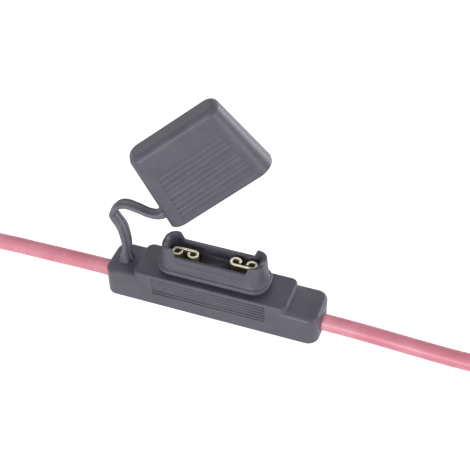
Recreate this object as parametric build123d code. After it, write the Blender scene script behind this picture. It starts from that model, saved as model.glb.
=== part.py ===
from build123d import *
from math import radians, tan
import os

# Inline holder for one large blade fuse, with a lead out of each end and a hood on a tether.
# All sizes are in millimetres. The origin is the centre of the underside. X runs along the
# leads, Z is up, and the viewer faces the ribbed side at -Y.

# The fuse that the holder takes
blade_pitch = 21.0
blade_thickness = 0.8
fuse_length = 29.2
fuse_depth = 8.9
fuse_top_above_contacts = 21.5

# Housing: a long low block, a raised middle and a lower step at each end
housing_length = 79.4
housing_width = 16.2
step_height = 11.6
step_length = 11.3
raised_height = 13.9
plan_radius = 4.0
raised_plan_radius = 2.6
top_edge_radius = 1.4
raised_edge_radius = 0.7
bottom_edge_radius = 0.6

# Grip panel: a shallow recess on each long side with ribs along it
panel_length = 42.0
panel_height = 7.8
panel_depth = 0.15
panel_below_top = 0.9
rib_pitch = 1.3
rib_gap = 0.6
rib_depth = 0.4

# Socket: a neck, the flange that the hood sits on, and drafted walls round the cavity
neck_height = 1.9
neck_inset = 0.9
flange_thickness = 1.7
flange_overhang = 1.1
flange_edge_radius = 0.6
socket_length = 38.8
socket_width = 11.6
socket_height = 8.7
socket_radius = 4.6
socket_draft = 6.0
cavity_length = 33.4
cavity_width = 8.5
cavity_radius = 2.6
cavity_depth = 6.6
low_wall = 0.9
low_wall_below_rim = 3.2
window_below_rim = 6.2
window_top_length = 28.2
window_slope = 21.0

# Hood, in the closed position
hood_gap = 0.5
hood_height = 29.7
hood_wall_at_mouth = 1.0
end_wall_at_top = 2.5
face_wall_at_top = 0.65
hood_corner_radius_at_top = 4.3
hood_edge_radius = 2.5
skirt_draft = 3.5
fuse_room = 0.3
hood_ribbed_height = 19.2
hood_rib_pitch = 1.92
hood_rib_gap = 1.15
hood_rib_depth = 0.3
hood_rib_length_at_mouth = 29.0
hood_rib_length_at_top = 25.4
hood_first_rib = 2.6

# Tether: a flat band with a rib down the middle of each face
tether_width = 4.0
tether_thickness = 1.3
tether_rib_width = 1.5
tether_rib_height = 0.3
tether_foot_width = 5.2
tether_foot_thickness = 4.6
tether_foot_height = 1.6
tether_foot_taper = 30.0
tether_from_end = 5.6
tether_up_hood = 4.0
fold_past_foot = 3.6
fold_aside = 1.0
fold_above_step = 20.3

# How the hood swings: three turns share the tether's flex, each as degrees from closed to open
foot_twist = -43.1
bend = -44.0
hood_twist = 42.8
foot_twist_y = 4.8
foot_twist_z = 9.4
bend_from_end = 2.7
bend_z = 21.1
hood_twist_y = 4.2
hood_twist_z = 1.0

# Contacts: one folded brass part, used twice
sheet = 0.8
contact_width = 9.9
contact_depth = 4.0
contact_roll = 285.0
contact_stand = 3.0
contact_height = 11.7
contact_room = 0.35
leg_width = 6.0
barrel_length = 9.0
barrel_gap = 1.6

# Leads
lead_diameter = 6.0
core_diameter = 3.8
lead_axis_height = 4.4
bare_in_barrel = 1.0
core_past_insulation = 0.4
lead_inside = 9.0

# Worked out from the sizes above
half_length = housing_length / 2
flange_bottom = raised_height + neck_height
flange_top = flange_bottom + flange_thickness
rim_height = flange_top + socket_height
cavity_floor = rim_height - cavity_depth
low_wall_top = rim_height - low_wall_below_rim
window_bottom = rim_height - window_below_rim
contact_top = cavity_floor + contact_stand
contact_bottom = contact_top - contact_height
hood_top = flange_top + hood_height


def rounded(length, width, radius, z):
    """A rounded rectangle at height z, centred on the socket."""
    return Plane.XY.offset(z) * RectangleRounded(length, width, min(radius, width / 2 - 0.01))


def prism(length, width, radius, bottom, top):
    return extrude(rounded(length, width, radius, bottom), amount=top - bottom)


def drafted(length, width, radius, bottom, top, draft):
    """A prism whose sides lean inwards."""
    return extrude(rounded(length, width, radius, bottom), amount=top - bottom, taper=draft)


def long_edges(part, z, tolerance=0.01):
    return part.edges().filter_by_position(Axis.Z, z - tolerance, z + tolerance)


def both_sides(cut):
    return cut + cut.mirror(Plane.XZ)


# The housing's two blocks. The raised middle is flush with the long sides.
base = prism(housing_length, housing_width, plan_radius, 0, step_height)
base = fillet(long_edges(base, step_height), top_edge_radius)
base = fillet(long_edges(base, 0), bottom_edge_radius)
raised_length = housing_length - 2 * step_length
raised_start = step_height / 2
raised = prism(raised_length, housing_width, raised_plan_radius, raised_start, raised_height)
raised = fillet(long_edges(raised, raised_height), raised_edge_radius)
housing = base + raised

# The grip panels. Their ribs are what stands between the grooves.
panel_top = raised_height - panel_below_top
side = housing_width / 2
panel = Pos(0, -side, panel_top - panel_height / 2) * Box(
    panel_length, 2 * panel_depth, panel_height
)
groove = Pos(0, -side, 0) * Box(panel_length, 2 * rib_depth, rib_gap)
grooves = [
    Pos(0, 0, panel_top - rib_pitch * (k + 0.5)) * groove
    for k in range(round(panel_height / rib_pitch))
]
housing -= both_sides(panel + grooves)

# The socket on its neck and flange
flange_length = socket_length + 2 * flange_overhang
flange_width = socket_width + 2 * flange_overhang
neck = prism(
    socket_length - 2 * neck_inset, socket_width - 2 * neck_inset, socket_radius,
    raised_height - raised_edge_radius, flange_bottom,
)
flange = prism(
    flange_length, flange_width, socket_radius + flange_overhang, flange_bottom, flange_top
)
flange = fillet(long_edges(flange, flange_top) + long_edges(flange, flange_bottom),
                flange_edge_radius)
socket = drafted(
    socket_length, socket_width, socket_radius, flange_top, rim_height, socket_draft
)
housing += neck + flange + socket

# The cavity, and the window in each long wall. Behind the window a thin low wall stays.
cavity = prism(cavity_length, cavity_width, cavity_radius, cavity_floor, rim_height)
low_wall_face = cavity_width / 2 + low_wall


def window(bottom, top):
    """The window's trapezoid between two heights, drawn on the plane of the long side."""
    lean = tan(radians(window_slope))
    wide = window_top_length / 2 + (top - rim_height) * lean
    narrow = window_top_length / 2 + (bottom - rim_height) * lean
    corners = [(-narrow, bottom), (narrow, bottom), (wide, top), (-wide, top)]
    return Plane.XZ * make_face(Polyline(*corners, close=True))


above_rim = rim_height + 1
open_top = extrude(window(low_wall_top, above_rim), amount=housing_width, both=True)
skin = extrude(window(window_bottom, low_wall_top + 0.1), amount=housing_width)
skin = Pos(0, -low_wall_face, 0) * skin
housing -= cavity + open_top + both_sides(skin)

# The contact, drawn from above: a flat back against the blade, with both edges rolled over
# until they press on the blade's other side. It is the left one; the right one is turned.
roll_outer = contact_depth / 2
roll_inner = roll_outer - sheet
back_face = blade_thickness / 2
roll_x = contact_width / 2 - roll_outer
roll_y = back_face + sheet - roll_outer
roll = Circle(roll_outer) - Circle(roll_inner)
gap_angle = 360 - contact_roll
opening = make_face(Polyline(
    (0, 0), (0, contact_depth), (-contact_depth, contact_depth),
    (-contact_depth, -contact_depth * tan(radians(gap_angle - 90)) if gap_angle < 90 else 0),
    close=True,
))
roll -= opening
profile = (
    Pos(roll_x, roll_y) * roll
    + Pos(-roll_x, roll_y) * roll.mirror(Plane.YZ)
    + Pos(0, back_face + sheet / 2) * Rectangle(2 * roll_x, sheet)
)
receptacle = extrude(Plane.XY.offset(contact_bottom) * profile, amount=contact_height)

# The leg under the receptacle turns towards the lead, and ends in the crimp barrel.
barrel_outer = core_diameter + 2 * sheet
barrel_start = contact_width / 2 + barrel_gap
leg_bottom = lead_axis_height - barrel_outer / 2
leg_shoulder = lead_axis_height + barrel_outer / 2
leg = make_face(Polyline(
    (leg_width / 2, contact_bottom), (leg_width / 2, leg_bottom),
    (-barrel_start - sheet, leg_bottom), (-barrel_start - sheet, leg_shoulder),
    (-leg_width / 2, leg_shoulder), (-leg_width / 2, contact_bottom),
    close=True,
))
leg = Pos(0, back_face + sheet, 0) * extrude(Plane.XZ * leg, amount=sheet)
along_lead = Plane((-barrel_start, 0, lead_axis_height), x_dir=(0, 1, 0), z_dir=(-1, 0, 0))
barrel = extrude(along_lead * (Circle(barrel_outer / 2) - Circle(core_diameter / 2)),
                 amount=barrel_length)
contact = receptacle + leg + barrel
terminal_left = Pos(-blade_pitch / 2, 0, 0) * contact
terminal_right = Rot(0, 0, 180) * terminal_left

# The leads. Each leaves its end face level, sinks to the ground and lies along it.
rest_height = lead_diameter / 2
core_start = blade_pitch / 2 + barrel_start + bare_in_barrel
insulation_start = half_length - lead_inside
left_route = [
    (-insulation_start, 0, lead_axis_height), (-48.5, 0, lead_axis_height),
    (-66, 0.9, rest_height), (-88, 0.5, rest_height), (-110, -1.8, rest_height),
    (-131, -1.6, rest_height), (-149, 0.6, rest_height),
]
right_route = [
    (insulation_start, 0, lead_axis_height), (48.5, 0, lead_axis_height),
    (66, 0.5, rest_height), (88, -0.4, rest_height), (110, 0.8, rest_height),
    (131, 3.6, rest_height), (149, 4.2, rest_height),
]


def run_radii(points):
    """The arc at each corner of a route: it uses 0.45 of the shorter run beside the corner."""
    vectors = [Vector(*p) for p in points]
    radii = []
    for before, here, after in zip(vectors, vectors[1:], vectors[2:]):
        arrive, leave = here - before, after - here
        half_turn = radians(arrive.get_angle(leave)) / 2
        radii.append(0.45 * min(arrive.length, leave.length) / tan(half_turn))
    return radii


def tube(points, outer, inner=0.0, start=None):
    """A round tube along a route of straight runs and arcs."""
    first = points[0] if start is None else (start, 0, lead_axis_height)
    route = FilletPolyline(*[first, *points[1:]], radius=run_radii(points))
    section = Circle(outer / 2) - Circle(inner / 2) if inner else Circle(outer / 2)
    return sweep(Plane(route @ 0, z_dir=route % 0) * section, path=route)


def core(points, side):
    """The copper core: from inside the barrel to a little past the insulation's cut end."""
    last, end = Vector(*points[-2]), Vector(*points[-1])
    end += (end - last).normalized() * core_past_insulation
    moved = [*points[:-1], (end.X, end.Y, end.Z)]
    return tube(moved, core_diameter, start=side * core_start)


lead_left = tube(left_route, lead_diameter, core_diameter)
lead_right = tube(right_route, lead_diameter, core_diameter)
conductor_left = core(left_route, -1)
conductor_right = core(right_route, 1)

# The housing is moulded round the legs, barrels and lead ends, and leaves the rolled
# receptacles a well each, where they can spring open.
well_length = contact_width + 2 * contact_room
well_width = 2 * max(back_face + sheet, roll_outer - roll_y) + 2 * contact_room
well = Plane.XY.offset(contact_bottom) * RectangleRounded(well_length, well_width, 1.0)
well = extrude(well, amount=cavity_floor - contact_bottom)
housing -= [Pos(side * blade_pitch / 2, 0, 0) * well for side in (-1, 1)]
for side in (-1, 1):
    bore_x = side * (blade_pitch / 2 + barrel_start)
    direction = Vector(side, 0, 0)
    barrel_bore = Plane((bore_x, 0, lead_axis_height), z_dir=direction) * Circle(barrel_outer / 2)
    housing -= extrude(barrel_bore, amount=insulation_start - abs(bore_x))
    lead_bore = Plane((side * insulation_start, 0, lead_axis_height), z_dir=direction)
    housing -= extrude(lead_bore * Circle(lead_diameter / 2), amount=lead_inside + 1)
leg_left = Pos(-blade_pitch / 2, 0, 0) * leg
housing -= leg_left + Rot(0, 0, 180) * leg_left

# The hood, closed. Its mouth is the socket's outline grown by the gap and the wall, and its top
# is the fuse's outline grown by the walls there. The shell is lofted from one to the other.
around_socket = hood_gap + hood_wall_at_mouth
mouth_length = socket_length + 2 * around_socket
mouth_width = socket_width + 2 * around_socket
chamber_length = fuse_length + 2 * fuse_room
chamber_width = fuse_depth + 2 * fuse_room
end_length = chamber_length + 2 * end_wall_at_top
end_width = chamber_width + 2 * face_wall_at_top
shell = loft([
    rounded(mouth_length, mouth_width, socket_radius + around_socket, flange_top),
    rounded(end_length, end_width, hood_corner_radius_at_top, hood_top),
])
shell = fillet(long_edges(shell, hood_top), hood_edge_radius)


def from_mouth(at_mouth, at_end, height):
    """A size of the hood at a height above its mouth."""
    return at_mouth + (at_end - at_mouth) * height / hood_height


# Its ribs stand between grooves across each face, in rows parallel to the mouth.
hood_rib_gaps = round(hood_ribbed_height / hood_rib_pitch)
for k in range(hood_rib_gaps):
    share = k / (hood_rib_gaps - 1)
    height = hood_first_rib + k * hood_rib_pitch
    length = hood_rib_length_at_mouth + share * (hood_rib_length_at_top - hood_rib_length_at_mouth)
    face = from_mouth(mouth_width, end_width, height) / 2
    line = Pos(0, -face, flange_top + height) * Box(length, 2 * hood_rib_depth, hood_rib_gap)
    shell -= both_sides(line)

# Inside, a skirt clears the socket by more and more towards its rim, so that the hood can swing
# off it, and a deeper chamber takes the fuse's body.
skirt_room = drafted(
    socket_length + 2 * hood_gap, socket_width + 2 * hood_gap, socket_radius + hood_gap,
    flange_top, rim_height + hood_gap, skirt_draft,
)
chamber_top = contact_top + fuse_top_above_contacts + fuse_room
chamber = prism(chamber_length, chamber_width, cavity_radius, flange_top, chamber_top)
shell -= skirt_room + chamber


def turned_about(point, turn):
    """The place that a turn about a line through a point moves a piece to."""
    return Pos(*point) * turn * Pos(*[-value for value in point])


# Opening the hood is three turns, one inside the other: the tether twists at its foot, bends at
# its fold and twists again at the hood.
foot_line = (0, foot_twist_y, foot_twist_z)
bend_line = (bend_from_end - half_length, 0, bend_z)
hood_line = (0, hood_twist_y, hood_twist_z)
foot_turned = turned_about(foot_line, Rot(foot_twist, 0, 0))
bent = foot_turned * turned_about(bend_line, Rot(0, bend, 0))
hood_open = bent * turned_about(hood_line, Rot(hood_twist, 0, 0))
cap = hood_open * shell

# The tether is a flat band. It rises from the left step, folds over to the right and meets
# the hood's end wall, turning to lie square to the hood on the way.
wall_point = (-from_mouth(mouth_length, end_length, tether_up_hood) / 2, 0,
              flange_top + tether_up_hood)
wall_out = (-hood_height, 0, (mouth_length - end_length) / 2)
on_wall = Plane(hood_open * Plane(wall_point, x_dir=(0, 1, 0), z_dir=wall_out).location)
on_step = Plane((tether_from_end - half_length, 0, step_height), x_dir=(0, 1, 0), z_dir=(0, 0, 1))
foot_point, hood_point = on_step.origin, on_wall.origin
fold = foot_point + Vector(-fold_past_foot, fold_aside, fold_above_step)
fold_direction = Vector(0.02, 0.12, 1)

# The rise bows towards the socket and the loop bows upwards. Each point is a share of the way
# along the straight line and a distance off it.
rise = [(0.384, 2.2), (0.714, 2.8), (0.887, 0.9)]
loop = [(0.105, 3.15), (0.27, 3.85), (0.486, 1.75), (0.734, -0.5)]
lower_route = Spline(
    foot_point,
    *[foot_point + (fold - foot_point) * share + Vector(bow, 0, 0) for share, bow in rise],
    fold, tangents=[on_step.z_dir, fold_direction],
)
upper_route = Spline(
    fold,
    *[fold + (hood_point - fold) * share + Vector(0, 0, bow) for share, bow in loop],
    hood_point, tangents=[fold_direction, on_wall.z_dir * -1],
)


def band():
    """The band's section, with its width along X and a rib down the middle of each face."""
    return Rectangle(tether_width, tether_thickness) + Rectangle(
        tether_rib_width, tether_thickness + 2 * tether_rib_height
    )


def strap(route, share_from, share_to, sections=8):
    """A band along a route. Its width turns from the step's Y towards the hood's Y."""
    places = []
    for k in range(sections):
        along = k / (sections - 1)
        share = share_from + (share_to - share_from) * along
        across = on_step.x_dir * (1 - share) + on_wall.x_dir * share
        forward = route % along
        across -= forward * across.dot(forward)
        places.append(Plane(route @ along, x_dir=across, z_dir=forward))
    return loft([place * band() for place in places])


foot = extrude(Rectangle(tether_foot_width, tether_foot_thickness), amount=tether_foot_height,
               taper=tether_foot_taper)
strap_lower = strap(lower_route, 0.0, 0.4) + on_step * foot
strap_upper = strap(upper_route, 0.4, 1.0) + on_wall * foot

pieces = {
    "holder_body": housing,
    "terminal_left": terminal_left,
    "terminal_right": terminal_right,
    "lead_left": lead_left,
    "lead_right": lead_right,
    "conductor_left": conductor_left,
    "conductor_right": conductor_right,
    "strap_lower": strap_lower,
    "strap_upper": strap_upper,
    "cap": cap,
}
os.makedirs("parts", exist_ok=True)
for name, piece in pieces.items():
    export_step(piece, f"parts/{name}.step")
print("lead bend radii", [round(r) for r in run_radii(left_route) + run_radii(right_route)])

# Where the three turning lines stand with the hood open, for the joints
for name, place, point, direction in [
    ("foot", Pos(0, 0, 0), foot_line, (1, 0, 0)),
    ("bend", foot_turned, bend_line, (0, 1, 0)),
    ("hood", bent, hood_line, (1, 0, 0)),
]:
    line = Plane(place * Plane(point, z_dir=direction).location)
    print(name, "line", [round(v, 3) for v in line.origin], [round(v, 5) for v in line.z_dir])
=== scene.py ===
import math

import bpy
import numpy as np
from mathutils import Matrix, Vector


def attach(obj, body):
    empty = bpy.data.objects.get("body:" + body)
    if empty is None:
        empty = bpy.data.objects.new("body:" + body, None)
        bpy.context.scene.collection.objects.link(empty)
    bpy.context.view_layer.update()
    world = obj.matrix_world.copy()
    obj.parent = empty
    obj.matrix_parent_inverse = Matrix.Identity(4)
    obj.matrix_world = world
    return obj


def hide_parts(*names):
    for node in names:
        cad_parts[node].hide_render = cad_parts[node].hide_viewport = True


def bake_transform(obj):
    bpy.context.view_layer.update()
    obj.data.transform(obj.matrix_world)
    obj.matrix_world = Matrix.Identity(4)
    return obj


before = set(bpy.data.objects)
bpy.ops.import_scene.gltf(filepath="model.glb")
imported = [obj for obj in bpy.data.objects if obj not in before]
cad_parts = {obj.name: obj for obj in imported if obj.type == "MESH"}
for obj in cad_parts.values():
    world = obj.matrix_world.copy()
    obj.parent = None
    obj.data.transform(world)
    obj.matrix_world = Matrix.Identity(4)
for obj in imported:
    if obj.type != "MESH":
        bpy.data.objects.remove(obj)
scene = bpy.context.scene
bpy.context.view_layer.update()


def add_object(name, data):
    """A new object in the scene, from a mesh, a curve, a camera or a lamp."""
    new = bpy.data.objects.new(name, data)
    scene.collection.objects.link(new)
    return new


# The view and the light. The camera stands at the front right and looks down on the holder,
# as a product photographer's would. Low soft boxes in front and at the right light the sides
# more than the tops, one behind edges the hood, and a weak one overhead fills in the tops.
camera_place, focal_length = (0.0931, -0.2283, 0.2629), 76.6
middle_of_holder = Vector((0, 0, 0.03))
azimuth, elevation, roll = math.radians(20.51), math.radians(43.0), math.radians(-0.9)
towards_camera = Vector((
    math.sin(azimuth) * math.cos(elevation), -math.cos(azimuth) * math.cos(elevation),
    math.sin(elevation),
))
level = Vector((math.cos(azimuth), math.sin(azimuth), 0))
upright = towards_camera.cross(level)
across = math.cos(roll) * level + math.sin(roll) * upright
upwards = math.cos(roll) * upright - math.sin(roll) * level
camera = add_object("camera", bpy.data.cameras.new("camera"))
camera.matrix_world = Matrix.Translation(camera_place) @ Matrix(
    (across, upwards, towards_camera)
).transposed().to_4x4()
camera.data.lens = focal_length
camera.data.clip_start = 0.01
scene.camera = camera
scene.view_settings.view_transform = "Standard"


def soft_box(name, place, size, power):
    """A square lamp that faces the middle of the holder."""
    lamp = bpy.data.lights.new(name, "AREA")
    lamp.shape, lamp.size, lamp.energy = "SQUARE", size, power
    box = add_object(name, lamp)
    box.location = place
    aim = middle_of_holder - box.location
    box.rotation_euler = aim.to_track_quat("-Z", "Y").to_euler()


soft_box("front_soft_box", (-0.08, -1.0, 0.24), 0.35, 7.0)
soft_box("right_soft_box", (0.95, -0.30, 0.25), 0.4, 3.9)
soft_box("back_soft_box", (0.55, 0.80, 0.25), 0.4, 5.5)
soft_box("top_soft_box", (-0.25, -0.10, 0.95), 0.7, 1.8)


def linear(colour):
    """An sRGB hex colour as linear red, green, blue and full alpha."""
    parts = [int(colour[k:k + 2], 16) / 255 for k in (1, 3, 5)]
    return [p / 12.92 if p <= 0.04045 else ((p + 0.055) / 1.055) ** 2.4 for p in parts] + [1.0]


def add_node(tree, kind, inputs=None, **settings):
    """Adds a node, sets its own properties, and sets or links its inputs."""
    new = tree.nodes.new(kind)
    for name, value in settings.items():
        setattr(new, name, value)
    for socket, value in (inputs or {}).items():
        if isinstance(value, bpy.types.NodeSocket):
            tree.links.new(value, new.inputs[socket])
        else:
            new.inputs[socket].default_value = value
    return new


def seen_directly(tree):
    """Whether a ray comes from the camera, or to it off gloss or through something clear."""
    paths = add_node(tree, "ShaderNodeLightPath")
    glossy = add_node(tree, "ShaderNodeMath", {
        0: paths.outputs["Is Camera Ray"], 1: paths.outputs["Is Glossy Ray"],
    }, operation="MAXIMUM")
    return add_node(tree, "ShaderNodeMath", {
        0: glossy.outputs[0], 1: paths.outputs["Is Transmission Ray"],
    }, operation="MAXIMUM").outputs[0]


def cleared(block):
    """A new material or world, its nodes switched on and cleared away."""
    block.use_nodes = True
    block.node_tree.nodes.clear()
    return block


# The room is white to the camera and in reflections, and lights the holder as a grey one, so
# that the holder isn't washed out.
light_seen, light_given = 1.0, 0.2
world = cleared(bpy.data.worlds.new("white_room"))
brightness = add_node(world.node_tree, "ShaderNodeMapRange", {
    "Value": seen_directly(world.node_tree), "To Min": light_given, "To Max": light_seen,
})
room = add_node(world.node_tree, "ShaderNodeBackground", {
    "Color": linear("#ffffff"), "Strength": brightness.outputs[0],
})
add_node(world.node_tree, "ShaderNodeOutputWorld", {"Surface": room.outputs[0]})
scene.world = world

# The white paper that the holder lies on. It glows to the camera and in reflections only, so
# that it comes out white and its glow doesn't light the holder from below.
half_paper, paper_glow = 3.0, 0.78
paper_mesh = bpy.data.meshes.new("paper")
paper_mesh.from_pydata(
    [(x * half_paper, y * half_paper, 0) for x, y in ((-1, -1), (1, -1), (1, 1), (-1, 1))],
    [], [(0, 1, 2, 3)],
)
paper = add_object("paper", paper_mesh)
matt_paper = cleared(bpy.data.materials.new("matt_paper"))
glow = add_node(matt_paper.node_tree, "ShaderNodeMath", {
    0: seen_directly(matt_paper.node_tree), 1: paper_glow,
}, operation="MULTIPLY")
sheet = add_node(matt_paper.node_tree, "ShaderNodeBsdfPrincipled", {
    "Base Color": linear("#f2f2f2"), "Roughness": 0.9, "Specular IOR Level": 0.1,
    "Emission Color": linear("#ffffff"), "Emission Strength": glow.outputs[0],
})
add_node(matt_paper.node_tree, "ShaderNodeOutputMaterial", {"Surface": sheet.outputs[0]})
paper_mesh.materials.append(matt_paper)


# The two leads: thick stranded cable in pinkish red PVC, extruded over the strands. Each
# leaves its end of the housing level, sinks to the paper and lies along it to a square cut.
# The routes are in mm, and start inside the housing.
lead_diameter = 0.006
lead_routes = {
    "left": [
        (-30.7, 0, 4.4), (-48.5, 0, 4.4), (-66, 0.9, 3), (-88, 0.5, 3), (-110, -1.8, 3),
        (-131, -1.6, 3), (-149, 0.6, 3),
    ],
    "right": [
        (30.7, 0, 4.4), (48.5, 0, 4.4), (66, 0.5, 3), (88, -0.4, 3), (110, 0.8, 3),
        (131, 3.6, 3), (149, 4.2, 3),
    ],
}


def extruded_pvc():
    """Soft PVC, extruded: a satin skin over a slightly clouded red, with faint lengthwise drag.
    The clouds are 12 mm across. The drag lines, 0.6 mm apart and 20 mm long, are drawn coarser
    than real ones, which are too fine to see."""
    material = cleared(bpy.data.materials.new("extruded_pvc"))
    tree = material.node_tree
    place = add_node(tree, "ShaderNodeTexCoord")
    cloud = add_node(tree, "ShaderNodeTexNoise", {
        "Vector": place.outputs["Object"], "Scale": 1 / 0.012, "Detail": 3.0,
    })
    ramp = add_node(tree, "ShaderNodeValToRGB", {"Fac": cloud.outputs["Fac"]})
    ramp.color_ramp.elements[0].position, ramp.color_ramp.elements[1].position = 0.3, 0.7
    ramp.color_ramp.elements[0].color = linear("#ca7486")
    ramp.color_ramp.elements[1].color = linear("#da94a2")
    drag = add_node(tree, "ShaderNodeMapping", {
        "Vector": place.outputs["Object"], "Scale": (1 / 0.02, 1 / 0.0006, 1 / 0.0006),
    })
    streak = add_node(tree, "ShaderNodeTexNoise", {
        "Vector": drag.outputs[0], "Scale": 1.0, "Detail": 2.0,
    })
    bump = add_node(tree, "ShaderNodeBump", {
        "Height": streak.outputs["Fac"], "Strength": 0.12, "Distance": 0.00015,
    })
    roughness = add_node(tree, "ShaderNodeMapRange", {
        "Value": streak.outputs["Fac"], "To Min": 0.34, "To Max": 0.5,
    })
    skin = add_node(tree, "ShaderNodeBsdfPrincipled", {
        "Base Color": ramp.outputs["Color"], "Roughness": roughness.outputs[0],
        "Normal": bump.outputs[0], "Subsurface Weight": 0.25,
        "Subsurface Radius": (0.0016, 0.0006, 0.0006), "Subsurface Scale": 1.0,
        "IOR": 1.53,
    })
    add_node(tree, "ShaderNodeOutputMaterial", {"Surface": skin.outputs[0]})
    return material


lead_skin = extruded_pvc()
leads = {}
for side, route in lead_routes.items():
    curve = bpy.data.curves.new(f"lead_{side}_insulation", "CURVE")
    curve.dimensions = "3D"
    curve.resolution_u = 20
    curve.bevel_depth = lead_diameter / 2
    curve.bevel_resolution = 8
    curve.use_fill_caps = True
    spline = curve.splines.new("NURBS")
    spline.points.add(len(route) - 1)
    for point, (x, y, z) in zip(spline.points, route):
        point.co = (x / 1000, y / 1000, z / 1000, 1)
    spline.order_u = 3
    spline.use_endpoint_u = True
    curve.materials.append(lead_skin)
    leads[side] = add_object(f"lead_{side}_insulation", curve)


# The cut end of each lead: bare copper strands, drawn hard and bunched, standing just clear
# of the insulation where the cutter left them.
core_radius = 0.0019
strand_radius, strand_sides = 0.00021, 10
strands_each_way = 6
# The rings of one strand, from inside the insulation to the tip of its dome: how far past the
# cut each stands, and its share of the strand's radius
ring_places = np.array([-0.0015, 0.00032, 0.00038, 0.0004])
ring_shares = np.array([1, 1, 0.75, 0.02])
# How far the strands' tips vary, and the turn from one strand to the next, near the golden
# angle, so that neighbours differ
tip_variation, tip_turn = 0.00008, 2.4
# Faces of a drawn shape that meet at more than this angle are shaded as an edge
drawn_crease = math.radians(40)


def drawn_copper():
    """Drawn copper wire: bright, with duller and browner patches 0.8 mm across, about two
    strands wide."""
    material = cleared(bpy.data.materials.new("drawn_copper"))
    tree = material.node_tree
    place = add_node(tree, "ShaderNodeTexCoord")
    tarnish = add_node(tree, "ShaderNodeTexNoise", {
        "Vector": place.outputs["Object"], "Scale": 1 / 0.0008, "Detail": 2.0,
    })
    ramp = add_node(tree, "ShaderNodeValToRGB", {"Fac": tarnish.outputs["Fac"]})
    ramp.color_ramp.elements[0].color = linear("#9c5a38")
    ramp.color_ramp.elements[1].color = linear("#d08a5c")
    wire = add_node(tree, "ShaderNodeBsdfPrincipled", {
        "Base Color": ramp.outputs["Color"], "Metallic": 1.0, "Roughness": 0.38,
    })
    add_node(tree, "ShaderNodeOutputMaterial", {"Surface": wire.outputs[0]})
    return material


def grid_faces(rows, columns, closed):
    """Quads over a grid of rows by columns, whose last column meets its first if closed."""
    row, column = np.meshgrid(
        np.arange(rows - 1), np.arange(columns if closed else columns - 1), indexing="ij"
    )
    following = (column + 1) % columns
    return np.stack([
        row * columns + column, row * columns + following,
        (row + 1) * columns + following, (row + 1) * columns + column,
    ], axis=-1).reshape(-1, 4)


def surface(name, points, faces, material):
    """An object from an array of points and a list of faces, smooth where they meet gently."""
    mesh = bpy.data.meshes.new(name)
    mesh.from_pydata(points.reshape(-1, 3).tolist(), [], faces)
    mesh.polygons.foreach_set("use_smooth", [True] * len(mesh.polygons))
    mesh.set_sharp_from_angle(angle=drawn_crease)
    mesh.materials.append(material)
    return add_object(name, mesh)


def strand_bundle(name, route, material):
    """Strands in a hexagonal packing about the route's last point. A strand is a round profile
    carried from just inside the insulation to just past it, and closed by a small dome."""
    end, before = Vector(route[-1]) / 1000, Vector(route[-2]) / 1000
    forward = np.array((end - before).normalized())
    sideways = np.cross(forward, (0, 0, 1))
    sideways /= np.linalg.norm(sideways)
    upward = np.cross(sideways, forward)
    pitch = 2 * strand_radius
    reach = np.arange(-strands_each_way, strands_each_way + 1)
    a, b = np.meshgrid(reach, reach, indexing="ij")
    centres = np.stack([(a + b / 2) * pitch, b * pitch * math.sqrt(3) / 2], -1).reshape(-1, 2)
    centres = centres[np.hypot(centres[:, 0], centres[:, 1]) < core_radius - strand_radius]
    angle = np.linspace(0, 2 * np.pi, strand_sides, endpoint=False)
    width = ring_shares * strand_radius
    unevenness = tip_variation * np.sin(np.arange(len(centres)) * tip_turn)
    u = centres[:, None, None, 0] + width[None, :, None] * np.cos(angle)
    v = centres[:, None, None, 1] + width[None, :, None] * np.sin(angle)
    w = ring_places[None, :, None] + unevenness[:, None, None] + 0 * u
    points = (
        np.array(end) + u[..., None] * sideways + v[..., None] * upward + w[..., None] * forward
    )
    one = grid_faces(len(ring_places), strand_sides, closed=True)
    points_each = len(ring_places) * strand_sides
    faces = np.concatenate([one + k * points_each for k in range(len(centres))])
    return surface(name, points, faces.tolist(), material)


copper = drawn_copper()
for side, route in lead_routes.items():
    strands = strand_bundle(f"strands_{side}", route, copper)
    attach(strands, "housing")
    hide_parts(f"conductor_{side}")
    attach(leads[side], "housing")
    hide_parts(f"lead_{side}")


# The housing and the hood: one soft dark thermoplastic, injection moulded. The tool was
# spark-eroded, which leaves a fine even grain, and the thick soft walls cool a little wavy.
weld_distance, cad_crease = 0.000002, math.radians(32)


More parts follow.
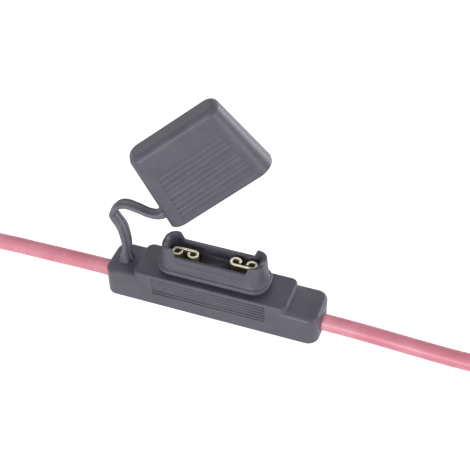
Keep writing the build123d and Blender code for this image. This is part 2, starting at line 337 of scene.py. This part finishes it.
def moulded_thermoplastic(name, dark, light):
    """Grained soft plastic: broad soft highlights, a faint cloudiness 7 mm across and shallow
    waves 5 mm across. The grain, 0.4 mm, is drawn coarser than a spark-eroded tool's 0.1 mm, so
    that it still shows at the photograph's distance."""
    material = cleared(bpy.data.materials.new(name))
    tree = material.node_tree
    place = add_node(tree, "ShaderNodeTexCoord")
    cloud = add_node(tree, "ShaderNodeTexNoise", {
        "Vector": place.outputs["Object"], "Scale": 1 / 0.007, "Detail": 4.0, "Roughness": 0.6,
    })
    ramp = add_node(tree, "ShaderNodeValToRGB", {"Fac": cloud.outputs["Fac"]})
    ramp.color_ramp.elements[0].position, ramp.color_ramp.elements[1].position = 0.3, 0.7
    ramp.color_ramp.elements[0].color = linear(dark)
    ramp.color_ramp.elements[1].color = linear(light)
    grain = add_node(tree, "ShaderNodeTexNoise", {
        "Vector": place.outputs["Object"], "Scale": 1 / 0.0004, "Detail": 3.0,
    })
    waves = add_node(tree, "ShaderNodeTexNoise", {
        "Vector": place.outputs["Object"], "Scale": 1 / 0.005, "Detail": 1.0,
    })
    edges = add_node(tree, "ShaderNodeBevel", {"Radius": 0.00006}, samples=4)
    wavy = add_node(tree, "ShaderNodeBump", {
        "Height": waves.outputs["Fac"], "Strength": 0.15, "Distance": 0.0004,
        "Normal": edges.outputs[0],
    })
    grained = add_node(tree, "ShaderNodeBump", {
        "Height": grain.outputs["Fac"], "Strength": 0.45, "Distance": 0.00008,
        "Normal": wavy.outputs[0],
    })
    roughness = add_node(tree, "ShaderNodeMapRange", {
        "Value": cloud.outputs["Fac"], "To Min": 0.38, "To Max": 0.50,
    })
    skin = add_node(tree, "ShaderNodeBsdfPrincipled", {
        "Base Color": ramp.outputs["Color"], "Roughness": roughness.outputs[0],
        "Normal": grained.outputs[0], "Specular IOR Level": 0.4,
    })
    add_node(tree, "ShaderNodeOutputMaterial", {"Surface": skin.outputs[0]})
    return material


def finished_copy(node, name, material):
    """A CAD node's own shape with its doubled points merged, so that its curves shade smoothly
    and its flats stay flat."""
    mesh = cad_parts[node].data.copy()
    mesh.name = name
    mesh.materials.clear()
    mesh.materials.append(material)
    new = add_object(name, mesh)
    weld = new.modifiers.new("weld", "WELD")
    weld.merge_threshold = weld_distance
    mesh.polygons.foreach_set("use_smooth", [True] * len(mesh.polygons))
    depsgraph = bpy.context.evaluated_depsgraph_get()
    welded = bpy.data.meshes.new_from_object(new.evaluated_get(depsgraph))
    new.modifiers.clear()
    new.data = welded
    welded.set_sharp_from_angle(angle=cad_crease)
    weight = new.modifiers.new("flats stay flat", "WEIGHTED_NORMAL")
    weight.keep_sharp = True
    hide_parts(node)
    return new


moulded = moulded_thermoplastic("moulded_thermoplastic", "#4a4852", "#54525d")
housing = finished_copy("holder_body", "moulded_housing", moulded)
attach(housing, "housing")
hood = finished_copy("cap", "moulded_hood", moulded)
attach(hood, "hood")


# The two contacts: brass strip, stamped, rolled over at both edges and pushed into the
# housing from above. Every face of them that points up is painted near white, a painted highlight.


def rolled_brass():
    """Rolled brass strip: pale gold and lined along the direction it was rolled in, with a painted
    highlight that whitens every face pointing up. The lines, 0.3 mm apart, are drawn coarser than
    real ones."""
    material = cleared(bpy.data.materials.new("rolled_brass"))
    tree = material.node_tree
    place = add_node(tree, "ShaderNodeTexCoord")
    stretch = add_node(tree, "ShaderNodeMapping", {
        "Vector": place.outputs["Object"], "Scale": (1 / 0.0003, 1 / 0.0003, 1 / 0.004),
    })
    lines = add_node(tree, "ShaderNodeTexNoise", {
        "Vector": stretch.outputs[0], "Scale": 1.0, "Detail": 2.0,
    })
    ramp = add_node(tree, "ShaderNodeValToRGB", {"Fac": lines.outputs["Fac"]})
    ramp.color_ramp.elements[0].color = linear("#a59a6a")
    ramp.color_ramp.elements[1].color = linear("#c4b88a")
    softened = add_node(tree, "ShaderNodeBevel", {"Radius": 0.0004}, samples=6)
    bump = add_node(tree, "ShaderNodeBump", {
        "Height": lines.outputs["Fac"], "Strength": 0.2, "Distance": 0.00005,
        "Normal": softened.outputs[0],
    })
    facing = add_node(tree, "ShaderNodeSeparateXYZ", {
        "Vector": add_node(tree, "ShaderNodeNewGeometry").outputs["Normal"],
    })
    # Painted highlight: faces that point up are mixed towards near white.
    painted_top_highlight = add_node(tree, "ShaderNodeMapRange", {
        "Value": facing.outputs["Z"], "From Min": 0.5, "From Max": 0.9,
    })
    colour = add_node(tree, "ShaderNodeMix", {
        "Factor": painted_top_highlight.outputs[0], "A": ramp.outputs["Color"], "B": linear("#fffcec"),
    }, data_type="RGBA")
    strip = add_node(tree, "ShaderNodeBsdfPrincipled", {
        "Base Color": colour.outputs["Result"], "Metallic": 0.8, "Roughness": 0.42,
        "Normal": bump.outputs[0],
    })
    add_node(tree, "ShaderNodeOutputMaterial", {"Surface": strip.outputs[0]})
    return material


brass = rolled_brass()
for side in ("left", "right"):
    contact = finished_copy(f"terminal_{side}", f"brass_contact_{side}", brass)
    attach(contact, "housing")


# The tether: a flat band moulded with the hood and the housing in the same soft plastic, drawn
# with a paler copy of its colours as painted light. Each face has a rib down the middle between
# two grooves, and the band swells where it meets the housing and the hood.
band_width, band_thickness = 0.0047, 0.0020
rib_width, rib_height = 0.0009, 0.00025
groove_from_middle, groove_width, groove_depth = 0.00085, 0.00045, 0.0003
# The swelling: how far it reaches from each end, the hood's share of it beside the foot's, and
# what it adds to the width and the thickness
foot_swelling, hood_swelling, hood_share = 0.0030, 0.0022, 0.6
added_width, added_thickness = 0.25, 1.2
# A paler copy of the moulding's colours, as painted light: the band is drawn lighter than the
# housing and hood.
painted_light_plastic = moulded_thermoplastic("painted_light_thermoplastic", "#5a5862", "#66646e")
tether_route = np.array([
    (-34.1, 0, 11.3), (-33.7, 0, 15.0), (-33.4, 0.3, 19.4), (-34.6, 0.7, 26.1),
    (-36.7, 0.9, 29.6), (-37.6, 1.0, 31.9), (-35.8, 1.3, 35.2), (-32.8, 1.8, 36.3),
    (-28.9, 2.4, 35.2), (-24.9, 2.6, 34.0), (-21.6, 2.9, 34.0), (-19.5, 4.0, 34.9),
]) / 1000
# The way that the band's width points, at shares of the route from the housing to the hood
width_shares = [0.0, 0.3, 0.5, 1.0]
width_ways = np.array([(0, 1, 0), (0.36, 0.93, 0), (0, 1, 0), (-0.472, 0.870, -0.144)])


def smooth_route(points, steps):
    """A cubic through every point: its slope at a point is that between the two beside it."""
    ends = np.concatenate([[2 * points[0] - points[1]], points, [2 * points[-1] - points[-2]]])
    slope = (ends[2:] - ends[:-2]) / 2
    t = np.linspace(0, 1, steps, endpoint=False)[None, :, None]
    p, q = points[:-1, None], points[1:, None]
    m, n = slope[:-1, None], slope[1:, None]
    line = (
        (2 * t**3 - 3 * t**2 + 1) * p + (t**3 - 2 * t**2 + t) * m
        + (3 * t**2 - 2 * t**3) * q + (t**3 - t**2) * n
    )
    return np.concatenate([line.reshape(-1, 3), points[-1:]])


steps_per_stretch = 12
centre_line = smooth_route(tether_route, steps_per_stretch)


def band_outline(points=96):
    """The band's section: an oval with rather flat faces, raised in the middle by a rib and
    sunk on each side of the rib by a groove."""
    angle = np.linspace(0, 2 * np.pi, points, endpoint=False)
    flatness = 0.6
    x = band_width / 2 * np.sign(np.cos(angle)) * np.abs(np.cos(angle)) ** flatness
    y = band_thickness / 2 * np.sign(np.sin(angle)) * np.abs(np.sin(angle)) ** flatness
    rib = rib_height * np.exp(-(2 * x / rib_width) ** 2)
    groove = groove_depth * np.exp(-(2 * (np.abs(x) - groove_from_middle) / groove_width) ** 2)
    return x, y + np.sign(y) * (rib - groove)


def tether_piece(name, first, last):
    """The band's section carried along a stretch of the route and closed at both ends. Its width
    turns as the band does, and it swells at both ends of the whole route."""
    line = centre_line[first:last + 1]
    forward = np.gradient(centre_line, axis=0)[first:last + 1]
    forward /= np.linalg.norm(forward, axis=1)[:, None]
    share = np.arange(first, last + 1) / (len(centre_line) - 1)
    wide = np.stack([np.interp(share, width_shares, way) for way in width_ways.T], axis=-1)
    wide -= forward * (wide * forward).sum(1)[:, None]
    wide /= np.linalg.norm(wide, axis=1)[:, None]
    thick = np.cross(forward, wide)
    step = np.linalg.norm(np.diff(centre_line, axis=0), axis=1)
    travelled = np.concatenate([[0], np.cumsum(step)])
    to_foot = travelled[first:last + 1, None]
    to_hood = travelled[-1] - to_foot
    at_foot = np.exp(-(to_foot / foot_swelling) ** 2)
    at_hood = np.exp(-(to_hood / hood_swelling) ** 2)
    swelling = at_foot + hood_share * at_hood
    x, y = band_outline()
    x = x * (1 + added_width * swelling)
    y = y * (1 + added_thickness * swelling)
    points = line[:, None] + x[..., None] * wide[:, None] + y[..., None] * thick[:, None]
    around = x.shape[1]
    faces = grid_faces(len(line), around, closed=True).tolist()
    faces += [list(range(around))[::-1], list(range((len(line) - 1) * around, len(line) * around))]
    piece = surface(name, points, faces, painted_light_plastic)
    return piece


# The band's three pieces meet at the route's fourth and sixth points. From a later second one,
# the closing hood would draw the band out further.
foot_row, fold_row, last_row = 3 * steps_per_stretch, 5 * steps_per_stretch, len(centre_line) - 1
tether_foot = tether_piece("tether_foot_stretch", 0, foot_row)
tether_fold = tether_piece("tether_fold_stretch", foot_row, fold_row)
tether_hood = tether_piece("tether_hood_stretch", fold_row, last_row)
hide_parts("strap_lower")
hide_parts("strap_upper")
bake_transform(tether_foot)
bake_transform(tether_fold)
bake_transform(tether_hood)
